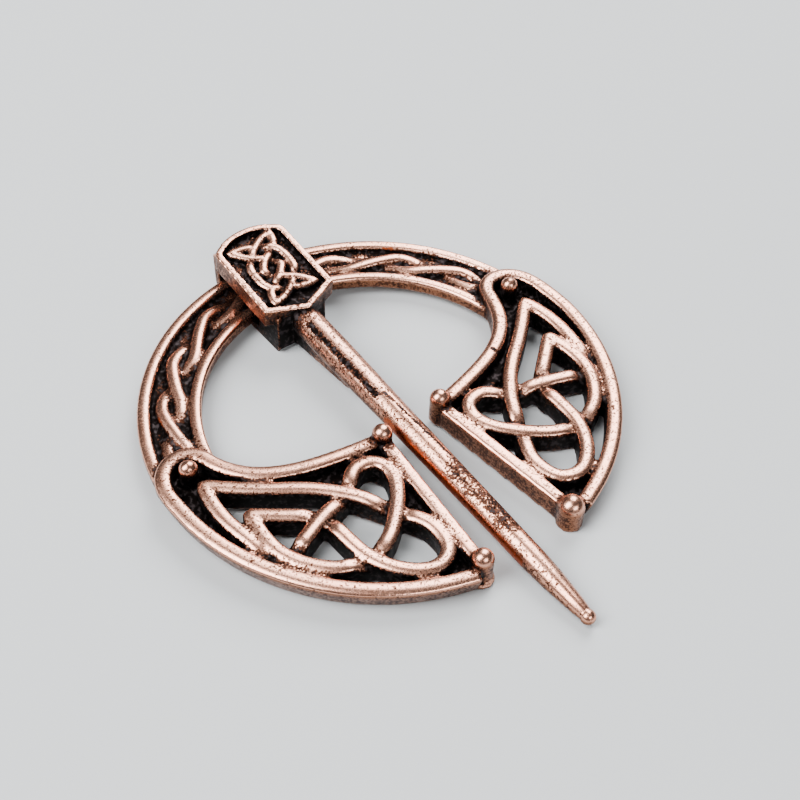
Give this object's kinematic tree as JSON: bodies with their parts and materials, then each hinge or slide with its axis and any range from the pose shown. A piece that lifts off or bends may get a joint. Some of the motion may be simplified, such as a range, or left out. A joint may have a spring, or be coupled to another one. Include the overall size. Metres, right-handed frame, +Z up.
{
  "type": "open-ring cloak clasp",
  "caption": "Open-ring cloak clasp in antiqued copper: twisted hoop, pierced knotwork ends with beads, and a long pin whose knotted head is closed round the hoop.",
  "frame": {"origin": "on the surface that the clasp lies on, below the middle of its overall width and length", "axes": "+Z up from the surface, +Y from the pin's tip towards its head, +X to the wearer's side that is right when the gap of the ring points towards the viewer"},
  "size_m": [0.0518, 0.0609, 0.0078],
  "materials": {
    "ring_copper": "antique copper plating, dark patina in the recesses, polished high spots",
    "pin_copper": "antique copper plating, dark patina in the recesses, polished high spots"
  },
  "bodies": {
    "ring": {"ring": "ring_copper"},
    "pin": {"pin": "pin_copper"}
  },
  "joints": [
    {"name": "pin_swing", "type": "hinge", "parent": "ring", "child": "pin", "pos_m": [-0.00009, 0.02199, 0.001], "axis": [-0.9997, 0.0262, 0], "range_deg": [0, 20]}
  ]
}
